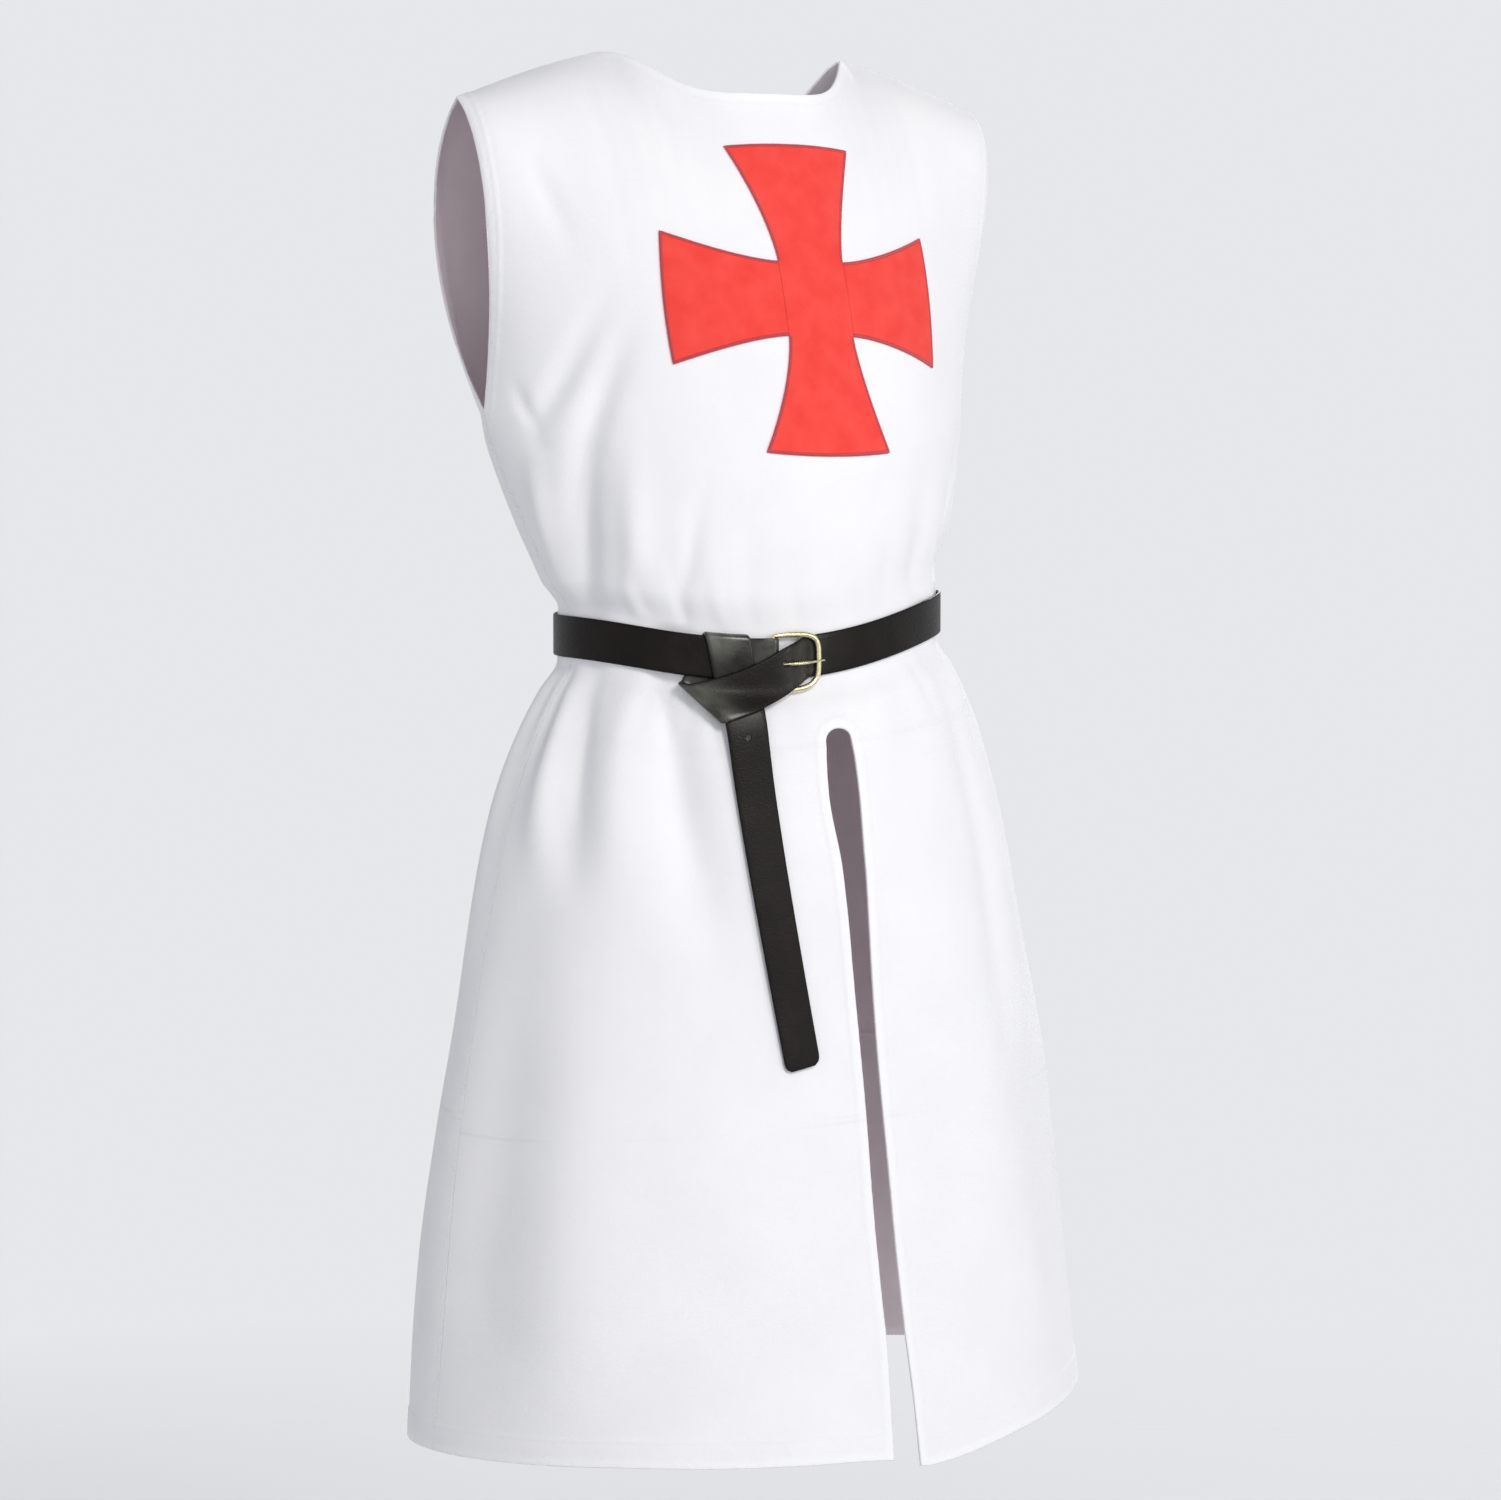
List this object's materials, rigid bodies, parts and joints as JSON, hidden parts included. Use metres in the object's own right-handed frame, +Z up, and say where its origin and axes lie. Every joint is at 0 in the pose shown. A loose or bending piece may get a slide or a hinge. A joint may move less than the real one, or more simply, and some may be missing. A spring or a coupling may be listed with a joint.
{
  "type": "medieval surcoat",
  "caption": "Sleeveless knee-length cotton surcoat with a front slit, a flared red cross on the chest, and a knotted leather belt with a brass buckle.",
  "frame": {"origin": "between the shoulders, midway between the shoulder seams and level with them, where the wearer carries the cloth", "axes": "+Z up, -Y to the garment's front, +X to the wearer's left"},
  "size_m": [0.5687, 0.4262, 1.0751],
  "materials": {
    "white_canvas": "matt woven cotton, faintly bluish white",
    "red_twill": "matt twill with a satin-stitched edge",
    "black_leather": "brown-black, slightly polished",
    "brass": "pale, satin"
  },
  "bodies": {
    "root": {"front_panel": "white_canvas", "back_panel": "white_canvas", "cross_upright": "red_twill", "cross_arm_left": "red_twill", "cross_arm_right": "red_twill", "belt_strap": "black_leather", "buckle_frame": "brass", "buckle_prong": "brass"}
  },
  "joints": []
}
